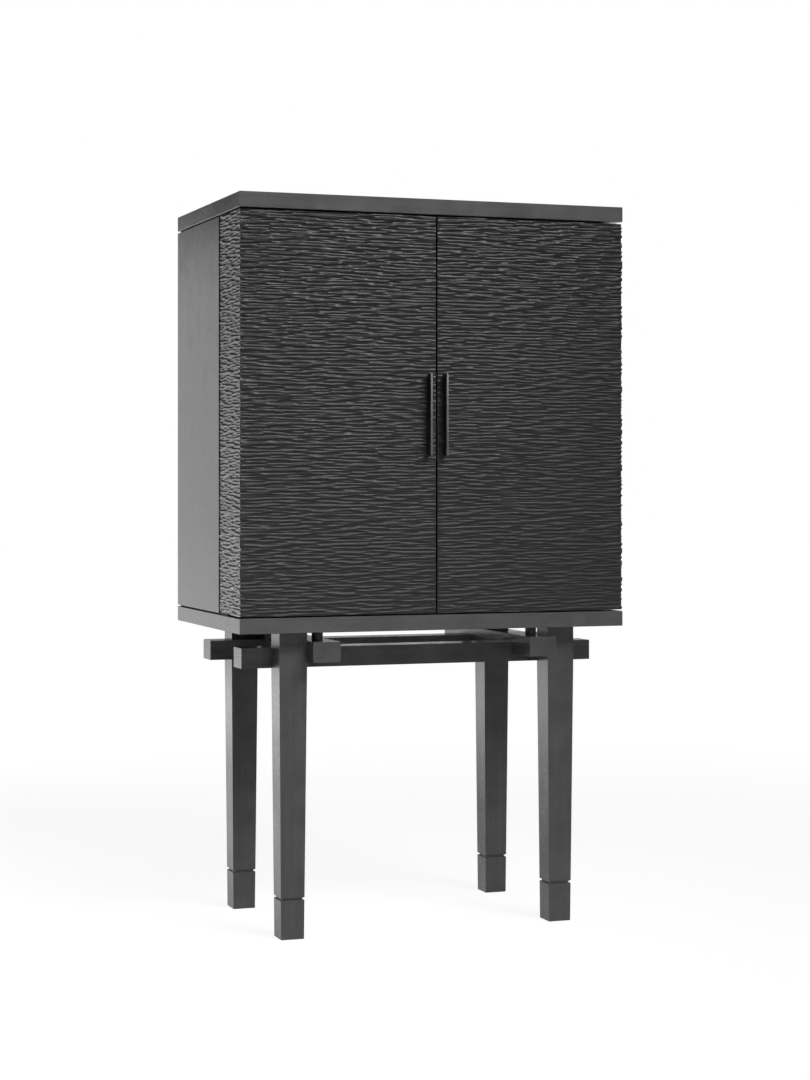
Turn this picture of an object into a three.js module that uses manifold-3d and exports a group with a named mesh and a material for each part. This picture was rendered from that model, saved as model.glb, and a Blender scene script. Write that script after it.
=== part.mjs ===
// Tall bar cabinet: a two-door case between two thick slabs, on a stand of four tapered legs
// and a frame of crossed beams. The doors are deep, L-shaped in plan, and carved on the front
// and round the corner. Inside, a leaf folds forward off a fixed worktop at bar height.
// Millimetres, +Z up, +X to the viewer's right, doors facing -Y.
// The origin is on the floor, at the middle of the whole outline, handles included.

import * as THREE from 'three';
import { mergeVertices } from 'three/addons/utils/BufferGeometryUtils.js';
import Module from 'manifold-3d';

// Overall size of the case and the stand
const WIDTH = 1016;
const DEPTH = 610;
const HEIGHT = 1829;
const STAND_HEIGHT = 757;
const SLAB = 38;
const SEAT = 0.3; // clearance left where one piece bears on another
const ARRIS = 1.2; // eased edge of the boards

// Handles: thin blades standing on edge
const HANDLE_PROUD = 22;
const HANDLE_THICKNESS = 6;
const HANDLE_LENGTH = 204;
const HANDLE_FROM_CENTRE = 21;

// Case between the slabs
const FRONT = -(DEPTH + HANDLE_PROUD) / 2 + HANDLE_PROUD;
const BACK = FRONT + DEPTH;
const MIDDLE_Y = (FRONT + BACK) / 2;
const SIDE_THICKNESS = 25;
const SIDE_X = WIDTH / 2;
const INSIDE_X = SIDE_X - SIDE_THICKNESS;
const FLOOR_Z = STAND_HEIGHT + SLAB;
const CEILING_Z = HEIGHT - SLAB;
const BACK_THICKNESS = 16;
const BACK_INSET = 4;
const BACK_PANEL_Y = BACK - BACK_INSET - BACK_THICKNESS;

// Shadow gaps between the slabs and the walls, and their depth in the side panels
const GAP_TOP = 5;
const GAP_BOTTOM = 4;
const GAP_DEPTH = 8;

// Doors
const DOOR_DEPTH = 190;
const DOOR_THICKNESS = 22;
const DOOR_TO_SIDE = 3;
const HALF_MEETING_GAP = 1.5;
const DOOR_BOTTOM = FLOOR_Z + GAP_BOTTOM;
const DOOR_TOP = CEILING_Z - GAP_TOP;
const DOOR_REAR = FRONT + DOOR_DEPTH;
const PIVOT_X = SIDE_X - 8;
const PIVOT_Y = DOOR_REAR - 16;
const DOOR_BOARD_REAR = DOOR_REAR - 3;

// Carving of the doors: wavy level gouges that run on round the corner
const GOUGES = 58;
const CREST_DEPTH = 0.5;
const GOUGE_DEPTH = 2.2;
const WANDER = 2.6;
const FRONT_COLUMNS = 7;
const RETURN_COLUMNS = 3;
const MITRE_CLEARANCE = 0.2;

// Racks in the doors
const RACK_DEPTH = 100;
const RACK_BOARD = 16;
const RACK_END = 12;
const UPPER_RACK_Z = 1400;
const RACK_END_HEIGHT = 86;
const RAIL_RADIUS = 5;
const RAIL_HEIGHT = 66;

// Worktop and the leaf that folds forward off it
const WORKTOP_Z = 1160;
const WORKTOP_THICKNESS = 22;
const FOLD_Y = 16;
const FOLD_GAP = 0.5;
const FOLD_Z = WORKTOP_Z + FOLD_GAP;
const FOLD_CLEARANCE = 3.6;
const LEAF_LENGTH = 268;
const LEAF_HALF_WIDTH = 475;
const FINGER_NOTCH = 46;
const CLEAT_WIDTH = 25;
const CLEAT_HEIGHT = 30;
const CLEAT_FRONT = DOOR_REAR + 6;
const KNUCKLE_RADIUS = 3;
const KNUCKLES = 19;
const HINGE_HALF_LENGTH = 456;
const HINGE_PLATE = 1.3;
const HINGE_PLATE_WIDTH = 19;

// Fixed shelf and the bottle dividers
const SHELF_Z = 1460;
const SHELF_THICKNESS = 18;
const SHELF_FRONT = 120;
const DIVIDER_X = 160;
const DIVIDER_THICKNESS = 16;
const DIVIDER_FRONT = 30;

// Stand
const LEG = 71;
const LEG_FOOT_END = 61;
const FOOT_TOP = 60.6;
const FOOT_END = 59;
const FOOT_HEIGHT = 97;
const GROOVE = 5;
const NECK = 52;
const BEAM_WIDTH = 70;
const BEAM_HEIGHT = 50;
const SIDE_BEAM_TOP = 714;
const CROSS_BEAM_TOP = 734;
const INNER_X = 321.5;
const INNER_Y = 183;
const BEAM_HALF_LENGTH = 469.5;
const SPACER_RADIUS = 14;
const SPACER_Y = 225;

const wasm = await Module();
wasm.setup();

// Finishes
const stainedWood = new THREE.MeshStandardMaterial({ color: 0x3f4041, roughness: 0.62, metalness: 0 });
const carvedWood = new THREE.MeshStandardMaterial({ color: 0x333435, roughness: 0.55, metalness: 0 });
const innerWood = new THREE.MeshStandardMaterial({ color: 0x4a4745, roughness: 0.6, metalness: 0 });
const darkMetal = new THREE.MeshStandardMaterial({ color: 0x2b2a29, roughness: 0.35, metalness: 1 });
const brass = new THREE.MeshStandardMaterial({ color: 0x8c7447, roughness: 0.32, metalness: 1 });

const cabinet = new THREE.Group();

function place(name, geometry, material, parent = cabinet, x = 0, y = 0, z = 0) {
  const mesh = new THREE.Mesh(geometry, material);
  mesh.name = name;
  mesh.position.set(x, y, z);
  parent.add(mesh);
  return mesh;
}

// A board between two corners, with its long edges eased
function board(low, high, arris = ARRIS) {
  const [width, depth, height] = high.map((value, axis) => value - low[axis]);
  const outline = new THREE.Shape();
  outline.moveTo(arris, arris);
  outline.lineTo(width - arris, arris);
  outline.lineTo(width - arris, depth - arris);
  outline.lineTo(arris, depth - arris);
  outline.closePath();
  const geometry = new THREE.ExtrudeGeometry(outline, {
    depth: height - 2 * arris,
    bevelEnabled: true,
    bevelSize: arris,
    bevelThickness: arris,
    bevelSegments: 1,
  });
  geometry.translate(low[0], low[1], low[2] + arris);
  return geometry;
}

// A polygon given by its corners
function polygon(corners) {
  return new THREE.Shape(corners.map(([across, up]) => new THREE.Vector2(across, up)));
}

// An outline in the X-Z plane, run along Y
function alongY(outline, yLow, yHigh) {
  const geometry = new THREE.ExtrudeGeometry(outline, { depth: yHigh - yLow, bevelEnabled: false });
  geometry.rotateX(Math.PI / 2);
  geometry.translate(0, yHigh, 0);
  return geometry;
}

// An outline in the Y-Z plane, run along X
function alongX(outline, xLow, xHigh) {
  const geometry = new THREE.ExtrudeGeometry(outline, { depth: xHigh - xLow, bevelEnabled: false });
  geometry.rotateX(Math.PI / 2);
  geometry.rotateZ(Math.PI / 2);
  geometry.translate(xLow, 0, 0);
  return geometry;
}

// An outline in plan, run upwards
function upwards(outline, zLow, zHigh, curveSegments = 12) {
  const geometry = new THREE.ExtrudeGeometry(outline, {
    depth: zHigh - zLow,
    bevelEnabled: false,
    curveSegments,
  });
  geometry.translate(0, 0, zLow);
  return geometry;
}

// A square post whose half width follows a list of [half width, height]
function squarePost(steps) {
  const profile = steps.map(([half, z]) => new THREE.Vector2(half * Math.SQRT2, z));
  const geometry = new THREE.LatheGeometry(profile, 4, Math.PI / 4);
  geometry.rotateX(Math.PI / 2);
  return geometry;
}

function solid(geometry) {
  const bare = geometry.clone();
  bare.deleteAttribute('normal');
  bare.deleteAttribute('uv');
  const merged = mergeVertices(bare, 1e-4);
  return new wasm.Manifold(new wasm.Mesh({
    numProp: 3,
    vertProperties: new Float32Array(merged.attributes.position.array),
    triVerts: new Uint32Array(merged.index.array),
  }));
}

function geometryOf(body) {
  const mesh = body.getMesh();
  const geometry = new THREE.BufferGeometry();
  geometry.setAttribute('position', new THREE.BufferAttribute(mesh.vertProperties, 3));
  geometry.setIndex(new THREE.BufferAttribute(mesh.triVerts, 1));
  return geometry;
}

// Stand: tapered legs on separate feet, with a shadow groove between them
function addLegs() {
  const legTop = STAND_HEIGHT - SEAT;
  const taperTop = SIDE_BEAM_TOP - BEAM_HEIGHT;
  const legEnd = FOOT_HEIGHT + GROOVE;
  const ease = 1.2;
  const legSteps = [
    [0, FOOT_HEIGHT + SEAT],
    [NECK / 2, FOOT_HEIGHT + SEAT],
    [NECK / 2, legEnd],
    [LEG_FOOT_END / 2 - ease, legEnd],
    [LEG_FOOT_END / 2, legEnd + ease],
    [LEG / 2, taperTop],
    [LEG / 2, legTop],
    [0, legTop],
  ];
  const footSteps = [
    [0, 0],
    [FOOT_END / 2 - ease, 0],
    [FOOT_END / 2, ease],
    [FOOT_TOP / 2, FOOT_HEIGHT - ease],
    [FOOT_TOP / 2 - ease, FOOT_HEIGHT],
    [0, FOOT_HEIGHT],
  ];
  for (const [end, ySide] of [['front', -1], ['back', 1]]) {
    for (const [hand, xSide] of [['left', -1], ['right', 1]]) {
      const x = xSide * (INNER_X + SEAT + LEG / 2);
      const y = MIDDLE_Y + ySide * (INNER_Y + SEAT + LEG / 2);
      place(`leg_${end}_${hand}`, squarePost(legSteps), stainedWood, cabinet, x, y);
      place(`foot_${end}_${hand}`, squarePost(footSteps), stainedWood, cabinet, x, y);
    }
  }
}

// Crossed beams: two run left to right inside the legs, two run front to back over them.
// Each pair is half lapped where it crosses.
function addBeams() {
  const sideBeamLow = SIDE_BEAM_TOP - BEAM_HEIGHT;
  const crossBeamLow = CROSS_BEAM_TOP - BEAM_HEIGHT;
  const lapFloor = (SIDE_BEAM_TOP + crossBeamLow) / 2;
  const lapLow = INNER_X - BEAM_WIDTH - SEAT;
  const lapHigh = INNER_X + SEAT;
  const sideOutline = polygon([
    [-BEAM_HALF_LENGTH, sideBeamLow],
    [BEAM_HALF_LENGTH, sideBeamLow],
    [BEAM_HALF_LENGTH, SIDE_BEAM_TOP],
    [lapHigh, SIDE_BEAM_TOP],
    [lapHigh, lapFloor],
    [lapLow, lapFloor],
    [lapLow, SIDE_BEAM_TOP],
    [-lapLow, SIDE_BEAM_TOP],
    [-lapLow, lapFloor],
    [-lapHigh, lapFloor],
    [-lapHigh, SIDE_BEAM_TOP],
    [-BEAM_HALF_LENGTH, SIDE_BEAM_TOP],
  ]);
  for (const [end, ySide] of [['front', -1], ['back', 1]]) {
    const yNear = MIDDLE_Y + ySide * (INNER_Y - BEAM_WIDTH);
    const yFar = MIDDLE_Y + ySide * INNER_Y;
    const beam = alongY(sideOutline, Math.min(yNear, yFar), Math.max(yNear, yFar));
    place(`beam_${end}`, beam, stainedWood);
  }

  const notchFar = INNER_Y + SEAT;
  const notchNear = INNER_Y - BEAM_WIDTH - SEAT;
  const lapCeiling = lapFloor + SEAT;
  const half = DEPTH / 2;
  const crossOutline = polygon([
    [-half, crossBeamLow],
    [-notchFar, crossBeamLow],
    [-notchFar, lapCeiling],
    [-notchNear, lapCeiling],
    [-notchNear, crossBeamLow],
    [notchNear, crossBeamLow],
    [notchNear, lapCeiling],
    [notchFar, lapCeiling],
    [notchFar, crossBeamLow],
    [half, crossBeamLow],
    [half, CROSS_BEAM_TOP],
    [-half, CROSS_BEAM_TOP],
  ]);
  for (const [hand, xSide] of [['left', -1], ['right', 1]]) {
    const xInner = xSide * (INNER_X - BEAM_WIDTH);
    const xOuter = xSide * INNER_X;
    const beam = alongX(crossOutline, Math.min(xInner, xOuter), Math.max(xInner, xOuter));
    place(`beam_${hand}`, beam, stainedWood, cabinet, 0, MIDDLE_Y, 0);
  }
}

// Short round metal spacers that carry the case on the front-to-back beams
function addSpacers() {
  const low = CROSS_BEAM_TOP + SEAT;
  const high = STAND_HEIGHT - SEAT;
  const ease = 0.8;
  const profile = [
    [0, low],
    [SPACER_RADIUS - ease, low],
    [SPACER_RADIUS, low + ease],
    [SPACER_RADIUS, high - ease],
    [SPACER_RADIUS - ease, high],
    [0, high],
  ].map(([radius, z]) => new THREE.Vector2(radius, z));
  for (const [end, ySide] of [['front', -1], ['back', 1]]) {
    for (const [hand, xSide] of [['left', -1], ['right', 1]]) {
      const spacer = new THREE.LatheGeometry(profile, 20);
      spacer.rotateX(Math.PI / 2);
      const x = xSide * (INNER_X - BEAM_WIDTH / 2);
      place(`spacer_${end}_${hand}`, spacer, darkMetal, cabinet, x, MIDDLE_Y + ySide * SPACER_Y);
    }
  }
}

// Slabs, side panels with a shadow rebate along their top and bottom edges, and the back
function addCase() {
  const bottom = board([-SIDE_X, FRONT, STAND_HEIGHT], [SIDE_X, BACK, FLOOR_Z]);
  place('bottom_slab', bottom, stainedWood);
  const top = board([-SIDE_X, FRONT, CEILING_Z], [SIDE_X, BACK, HEIGHT]);
  place('top_slab', top, stainedWood);

  const low = FLOOR_Z + SEAT;
  const high = CEILING_Z - SEAT;
  for (const [hand, xSide] of [['left', -1], ['right', 1]]) {
    const corners = [
      [INSIDE_X, low],
      [SIDE_X - GAP_DEPTH, low],
      [SIDE_X - GAP_DEPTH, DOOR_BOTTOM],
      [SIDE_X, DOOR_BOTTOM],
      [SIDE_X, DOOR_TOP],
      [SIDE_X - GAP_DEPTH, DOOR_TOP],
      [SIDE_X - GAP_DEPTH, high],
      [INSIDE_X, high],
    ].map(([x, z]) => [xSide * x, z]);
    const panel = alongY(polygon(corners), DOOR_REAR + DOOR_TO_SIDE, BACK);
    place(`side_panel_${hand}`, panel, stainedWood);
  }

  const backLow = [-INSIDE_X + SEAT, BACK_PANEL_Y, low];
  const backHigh = [INSIDE_X - SEAT, BACK_PANEL_Y + BACK_THICKNESS, high];
  place('back_panel', board(backLow, backHigh, 0.8), innerWood);

  const stop = board([-120, DOOR_BOARD_REAR + 0.5, high - 26], [120, DOOR_BOARD_REAR + 13, high]);
  place('door_stop', stop, innerWood);
}

// Shelf above the worktop, cleats under it, and dividers that make three bottle bays
function addInterior() {
  const shelfLow = [-INSIDE_X + SEAT, SHELF_FRONT, SHELF_Z];
  const shelfHigh = [INSIDE_X - SEAT, BACK_PANEL_Y - SEAT, SHELF_Z + SHELF_THICKNESS];
  place('upper_shelf', board(shelfLow, shelfHigh), innerWood);

  const underside = WORKTOP_Z - WORKTOP_THICKNESS - SEAT;
  for (const [hand, xSide] of [['left', -1], ['right', 1]]) {
    const xWall = xSide * (INSIDE_X - SEAT);
    const xFree = xSide * (INSIDE_X - CLEAT_WIDTH);
    const cleat = board(
      [Math.min(xWall, xFree), CLEAT_FRONT, underside - CLEAT_HEIGHT],
      [Math.max(xWall, xFree), BACK_PANEL_Y - SEAT, underside],
    );
    place(`cleat_${hand}`, cleat, innerWood);

    const divider = board(
      [xSide * DIVIDER_X - DIVIDER_THICKNESS / 2, DIVIDER_FRONT, FLOOR_Z + SEAT],
      [xSide * DIVIDER_X + DIVIDER_THICKNESS / 2, BACK_PANEL_Y - SEAT, underside],
    );
    place(`bottle_divider_${hand}`, divider, innerWood);
  }
}

// Fixed worktop and folding leaf. Both have a housing along the fold for the hinge strip.
function addWorktop() {
  const housing = SEAT + HINGE_PLATE + SEAT - FOLD_GAP;
  const housingLength = 2 * (HINGE_HALF_LENGTH + SEAT);
  const housingWidth = HINGE_PLATE_WIDTH + SEAT;
  const edge = FOLD_Y + FOLD_CLEARANCE;
  const fixed = solid(board(
    [-INSIDE_X + SEAT, edge, WORKTOP_Z - WORKTOP_THICKNESS],
    [INSIDE_X - SEAT, BACK_PANEL_Y - SEAT, WORKTOP_Z],
    1,
  ));
  const fixedHousing = new THREE.BoxGeometry(housingLength, 2 * housingWidth, 2 * housing);
  fixedHousing.translate(0, edge, WORKTOP_Z);
  place('worktop_fixed', geometryOf(fixed.subtract(solid(fixedHousing))), innerWood);

  // At rest the leaf lies face down on the worktop, its free edge at the back
  const leafGroup = new THREE.Group();
  leafGroup.position.set(0, FOLD_Y, FOLD_Z);
  cabinet.add(leafGroup);
  const near = FOLD_CLEARANCE;
  const far = near + LEAF_LENGTH;
  const notchFlat = FINGER_NOTCH - 28;
  const bend = FINGER_NOTCH - 14;
  const notchFloor = far - 16;
  const outline = new THREE.Shape();
  outline.moveTo(-LEAF_HALF_WIDTH, near);
  outline.lineTo(LEAF_HALF_WIDTH, near);
  outline.lineTo(LEAF_HALF_WIDTH, far);
  outline.lineTo(FINGER_NOTCH, far);
  outline.bezierCurveTo(bend, far, bend, notchFloor, notchFlat, notchFloor);
  outline.lineTo(-notchFlat, notchFloor);
  outline.bezierCurveTo(-bend, notchFloor, -bend, far, -FINGER_NOTCH, far);
  outline.lineTo(-LEAF_HALF_WIDTH, far);
  outline.closePath();
  const leaf = solid(upwards(outline, FOLD_GAP, FOLD_GAP + WORKTOP_THICKNESS, 6));
  const leafHousing = new THREE.BoxGeometry(housingLength, 2 * housingWidth, 2 * housing);
  leafHousing.translate(0, near, FOLD_GAP);
  place('folding_leaf', geometryOf(leaf.subtract(solid(leafHousing))), innerWood, leafGroup);
  addFoldHinge(leafGroup);
}

// Strip hinge: two narrow plates that share one row of knuckles along the fold
function addFoldHinge(leafGroup) {
  const pitch = (2 * HINGE_HALF_LENGTH) / KNUCKLES;
  const knuckleGap = 0.4;
  const plateNear = FOLD_CLEARANCE;
  const plateLow = { fixed: -SEAT - HINGE_PLATE, leaf: SEAT };
  for (const [name, parity] of [['fixed', 0], ['leaf', 1]]) {
    const low = plateLow[name];
    const strip = new THREE.BoxGeometry(2 * HINGE_HALF_LENGTH, HINGE_PLATE_WIDTH, HINGE_PLATE);
    strip.translate(0, plateNear + HINGE_PLATE_WIDTH / 2, low + HINGE_PLATE / 2);
    let plate = solid(strip);
    for (let index = parity; index < KNUCKLES; index += 2) {
      const middle = -HINGE_HALF_LENGTH + (index + 0.5) * pitch;
      const length = pitch - knuckleGap;
      const knuckle = new THREE.CylinderGeometry(KNUCKLE_RADIUS, KNUCKLE_RADIUS, length, 12);
      knuckle.rotateZ(Math.PI / 2);
      knuckle.translate(middle, 0, 0);
      const tab = new THREE.BoxGeometry(length, plateNear + 2, HINGE_PLATE);
      tab.translate(middle, plateNear / 2 + 1, low + HINGE_PLATE / 2);
      plate = plate.add(solid(tab)).add(solid(knuckle));
    }
    if (name === 'fixed') {
      place('fold_hinge_fixed', geometryOf(plate), brass, cabinet, 0, FOLD_Y, FOLD_Z);
    } else {
      place('fold_hinge_leaf', geometryOf(plate), brass, leafGroup);
    }
  }
}

// Depth of the carving below the face, for one row of crests and hollows
function carvedDepth(row, along) {
  if (row === 0 || row === 2 * GOUGES) {
    return CREST_DEPTH;
  }
  const swell = 0.5 + 0.5 * Math.sin(along / 61 + row * 1.7) * Math.cos(along / 143 - row * 0.6);
  return row % 2 === 0 ? CREST_DEPTH + 0.5 * swell : CREST_DEPTH + GOUGE_DEPTH * (0.65 + 0.35 * swell);
}

// Height of one row of the carving, which wanders a little as it runs along the door
function carvedHeight(row, along) {
  const share = row / (2 * GOUGES);
  const fade = Math.min(1, 12 * share, 12 * (1 - share));
  const wave = Math.sin(along / 88 + row * 0.31) + 0.6 * Math.sin(along / 37 - row * 0.17);
  return DOOR_BOTTOM + share * (DOOR_TOP - DOOR_BOTTOM) + fade * WANDER * wave;
}

// A skin over rows of corner points, closed by a fan at the bottom and at the top
function loft(rows) {
  const count = rows[0].length;
  const positions = rows.flat(2);
  const index = [];
  for (let row = 0; row + 1 < rows.length; row += 1) {
    for (let corner = 0; corner < count; corner += 1) {
      const next = (corner + 1) % count;
      const a = row * count + corner;
      const b = row * count + next;
      index.push(a, b, b + count, a, b + count, a + count);
    }
  }
  const last = (rows.length - 1) * count;
  for (let corner = 1; corner + 1 < count; corner += 1) {
    index.push(0, corner + 1, corner);
    index.push(last, last + corner, last + corner + 1);
  }
  const geometry = new THREE.BufferGeometry();
  geometry.setAttribute('position', new THREE.Float32BufferAttribute(positions, 3));
  geometry.setIndex(index);
  return geometry;
}

// Carved door front, from the meeting edge to the mitre. Corners are listed from the inner
// corner of the mitre, along the back, and round the carved face.
function carvedFront(xSide) {
  const inner = SIDE_X - DOOR_THICKNESS;
  const rows = [];
  for (let row = 0; row <= 2 * GOUGES; row += 1) {
    const corners = [];
    const middleZ = carvedHeight(row, 0);
    corners.push([xSide * (inner - MITRE_CLEARANCE), FRONT + DOOR_THICKNESS, carvedHeight(row, SIDE_X)]);
    corners.push([xSide * HALF_MEETING_GAP, FRONT + DOOR_THICKNESS, middleZ]);
    for (let column = 0; column <= FRONT_COLUMNS; column += 1) {
      const along = (SIDE_X * column) / FRONT_COLUMNS;
      const depth = carvedDepth(row, along);
      let x = Math.max(along, HALF_MEETING_GAP);
      if (column === FRONT_COLUMNS) {
        x = SIDE_X - depth - MITRE_CLEARANCE;
      }
      corners.push([xSide * x, FRONT + depth, carvedHeight(row, along)]);
    }
    rows.push(turned(corners, xSide));
  }
  return loft(rows);
}

// Corners are listed for the right door; on the left door they run the other way round
function turned(corners, xSide) {
  return xSide > 0 ? corners : [corners[0], ...corners.slice(1).reverse()];
}

// Carved door return, from the mitre to its rear edge
function carvedReturn(xSide) {
  const inner = SIDE_X - DOOR_THICKNESS;
  const rows = [];
  for (let row = 0; row <= 2 * GOUGES; row += 1) {
    const corners = [];
    const endZ = carvedHeight(row, SIDE_X + DOOR_DEPTH);
    corners.push([xSide * inner, DOOR_REAR, endZ]);
    corners.push([xSide * inner, FRONT + DOOR_THICKNESS + MITRE_CLEARANCE, carvedHeight(row, SIDE_X)]);
    for (let column = 0; column <= RETURN_COLUMNS; column += 1) {
      const run = (DOOR_DEPTH * column) / RETURN_COLUMNS;
      const along = SIDE_X + run;
      const depth = carvedDepth(row, along);
      const y = column === 0 ? FRONT + depth + MITRE_CLEARANCE : FRONT + run;
      corners.push([xSide * (SIDE_X - depth), y, carvedHeight(row, along)]);
    }
    rows.push(turned(corners, xSide));
  }
  return loft(rows);
}

// One door with all that swings with it, in a group at its pivot
function addDoor(hand, xSide) {
  const door = new THREE.Group();
  door.position.set(xSide * PIVOT_X, PIVOT_Y, 0);
  cabinet.add(door);
  const fit = (name, geometry, material) => {
    place(`door_${hand}_${name}`, geometry, material, door, -xSide * PIVOT_X, -PIVOT_Y, 0);
  };
  const between = (xNear, xFar, yLow, yHigh, zLow, zHigh, arris = ARRIS) => {
    const first = xSide * xNear;
    const second = xSide * xFar;
    const low = [Math.min(first, second), yLow, zLow];
    return board(low, [Math.max(first, second), yHigh, zHigh], arris);
  };

  fit('front', carvedFront(xSide), carvedWood);
  fit('return', carvedReturn(xSide), carvedWood);

  const inner = SIDE_X - DOOR_THICKNESS - SEAT;
  const frontFace = FRONT + DOOR_THICKNESS + SEAT;
  const bottomBoard = between(4, inner, frontFace, DOOR_BOARD_REAR, DOOR_BOTTOM, DOOR_BOTTOM + 22);
  fit('bottom_board', bottomBoard, innerWood);
  const topBoard = between(4, inner, frontFace, DOOR_BOARD_REAR, DOOR_TOP - 22, DOOR_TOP);
  fit('top_board', topBoard, innerWood);

  const endNear = 14;
  const upperFar = frontFace + RACK_DEPTH;
  const upperTop = UPPER_RACK_Z + RACK_BOARD;
  fit('rack_shelf', between(endNear, inner, frontFace, upperFar, UPPER_RACK_Z, upperTop), innerWood);
  const racks = [['upper', upperTop, upperFar], ['lower', DOOR_BOTTOM + 22, DOOR_BOARD_REAR - 5]];
  for (const [level, floor, far] of racks) {
    const endFar = endNear + RACK_END;
    fit(`${level}_rack_end`, rackEnd(xSide, endNear, endFar, frontFace, far, floor + SEAT), innerWood);
    const length = inner - endFar - 2 * SEAT;
    const rail = new THREE.CylinderGeometry(RAIL_RADIUS, RAIL_RADIUS, length, 16);
    rail.rotateZ(Math.PI / 2);
    rail.translate(xSide * (endFar + SEAT + length / 2), far - 12, floor + RAIL_HEIGHT);
    fit(`${level}_rail`, rail, darkMetal);
  }

  const handleX = HANDLE_FROM_CENTRE;
  const handleMiddle = (DOOR_TOP + DOOR_BOTTOM) / 2;
  const handle = between(
    handleX - HANDLE_THICKNESS / 2,
    handleX + HANDLE_THICKNESS / 2,
    FRONT - HANDLE_PROUD,
    FRONT + CREST_DEPTH - SEAT,
    handleMiddle - HANDLE_LENGTH / 2,
    handleMiddle + HANDLE_LENGTH / 2,
    0.6,
  );
  fit('handle', handle, darkMetal);

  addPivot(`door_${hand}_top_pivot`, door, xSide, DOOR_TOP, CEILING_Z);
  addPivot(`door_${hand}_bottom_pivot`, door, xSide, DOOR_BOTTOM, FLOOR_Z);
}

// End of a door rack, with its upper free corner rounded
function rackEnd(xSide, xNear, xFar, yLow, yHigh, zLow) {
  const zHigh = zLow + RACK_END_HEIGHT;
  const round = 24;
  const outline = new THREE.Shape();
  outline.moveTo(yLow, zLow);
  outline.lineTo(yHigh, zLow);
  outline.lineTo(yHigh, zHigh - round);
  outline.absarc(yHigh - round, zHigh - round, round, 0, Math.PI / 2, false);
  outline.lineTo(yLow, zHigh);
  outline.closePath();
  const first = xSide * xNear;
  const second = xSide * xFar;
  return alongX(outline, Math.min(first, second), Math.max(first, second));
}

// Knife hinge in the shadow gap between a door and a slab: two flat plates, one over the
// other, that turn on one pin. The pin stands on the lower plate and fills an eye in the upper.
function addPivot(name, door, xSide, doorFace, slabFace) {
  const length = 58;
  const halfWidth = 6.4;
  const pinRadius = 3;
  const eyeRadius = pinRadius + 0.35;
  const atTop = slabFace > doorFace;
  const gapLow = Math.min(doorFace, slabFace);
  const gapHigh = Math.max(doorFace, slabFace);
  const plate = (gapHigh - gapLow - 3 * SEAT) / 2;
  const lowerTop = gapLow + SEAT + plate;
  const upperLow = lowerTop + SEAT;

  const outline = () => {
    const shape = new THREE.Shape();
    shape.moveTo(halfWidth, 0);
    shape.absarc(0, 0, halfWidth, 0, Math.PI, false);
    shape.lineTo(-halfWidth, -length);
    shape.lineTo(halfWidth, -length);
    shape.closePath();
    return shape;
  };
  const eyed = outline();
  const eye = new THREE.Path();
  eye.absarc(0, 0, eyeRadius, 0, 2 * Math.PI, true);
  eyed.holes.push(eye);
  const eyePlate = upwards(eyed, upperLow, upperLow + plate, 8);

  const pinLength = 1.5 * plate + SEAT;
  const pin = new THREE.CylinderGeometry(pinRadius, pinRadius, pinLength, 16);
  pin.rotateX(Math.PI / 2);
  pin.translate(0, 0, upperLow + plate - pinLength / 2);
  const pinPlate = geometryOf(solid(upwards(outline(), gapLow + SEAT, lowerTop, 8)).add(solid(pin)));

  place(`${name}_plate`, atTop ? pinPlate : eyePlate, brass, door);
  place(`${name}_case_plate`, atTop ? eyePlate : pinPlate, brass, cabinet, xSide * PIVOT_X, PIVOT_Y);
}

addLegs();
addBeams();
addSpacers();
addCase();
addInterior();
addWorktop();
addDoor('left', -1);
addDoor('right', 1);

export default cabinet;
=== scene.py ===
# Tall bar cabinet in charcoal stained wood: a case of two deep doors between thick slabs, on a
# stand of crossed beams and four tapered legs. The doors are gouged by hand on the front and
# round the corner. Inside, a leaf folds forward off a fixed worktop.

import math

import bmesh
import bpy
from mathutils import Matrix, Vector


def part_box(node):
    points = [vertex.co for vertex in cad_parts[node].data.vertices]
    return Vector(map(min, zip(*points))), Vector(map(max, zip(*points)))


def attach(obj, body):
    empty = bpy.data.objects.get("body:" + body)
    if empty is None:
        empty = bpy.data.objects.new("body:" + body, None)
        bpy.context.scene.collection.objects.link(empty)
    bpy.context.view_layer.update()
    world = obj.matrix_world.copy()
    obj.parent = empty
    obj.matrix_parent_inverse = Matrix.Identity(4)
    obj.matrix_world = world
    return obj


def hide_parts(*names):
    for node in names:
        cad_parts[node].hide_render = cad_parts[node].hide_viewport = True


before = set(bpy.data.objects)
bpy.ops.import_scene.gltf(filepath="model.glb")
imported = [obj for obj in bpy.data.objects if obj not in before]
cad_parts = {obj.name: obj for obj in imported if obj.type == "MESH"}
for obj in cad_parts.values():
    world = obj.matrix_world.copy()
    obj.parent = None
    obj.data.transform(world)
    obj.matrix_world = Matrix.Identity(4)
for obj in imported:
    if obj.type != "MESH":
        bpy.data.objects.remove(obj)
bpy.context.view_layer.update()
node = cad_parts


# Studio: a long lens at a little over half the cabinet's height, and a pale floor that runs out
# to white. Soft lamps stand high and level in front, on the right, and low behind on the left.
# Smooth sides mirror a bright backdrop behind the cabinet, which ends just over the horizon.


def in_scene(name, data):
    thing = bpy.data.objects.new(name, data)
    bpy.context.scene.collection.objects.link(thing)
    return thing


photograph_camera = in_scene("photograph_camera", bpy.data.cameras.new("photograph_camera"))
photograph_camera.location = (-2.009, -5.665, 1.131)
photograph_camera.rotation_euler = (math.radians(90), 0, math.radians(-19.718))
photograph_camera.data.lens = 76.83
photograph_camera.data.sensor_width = 36
photograph_camera.data.shift_y = -0.0558
photograph_camera.data.clip_end = 200
bpy.context.scene.camera = photograph_camera
bpy.context.scene.view_settings.view_transform = "Standard"


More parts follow.
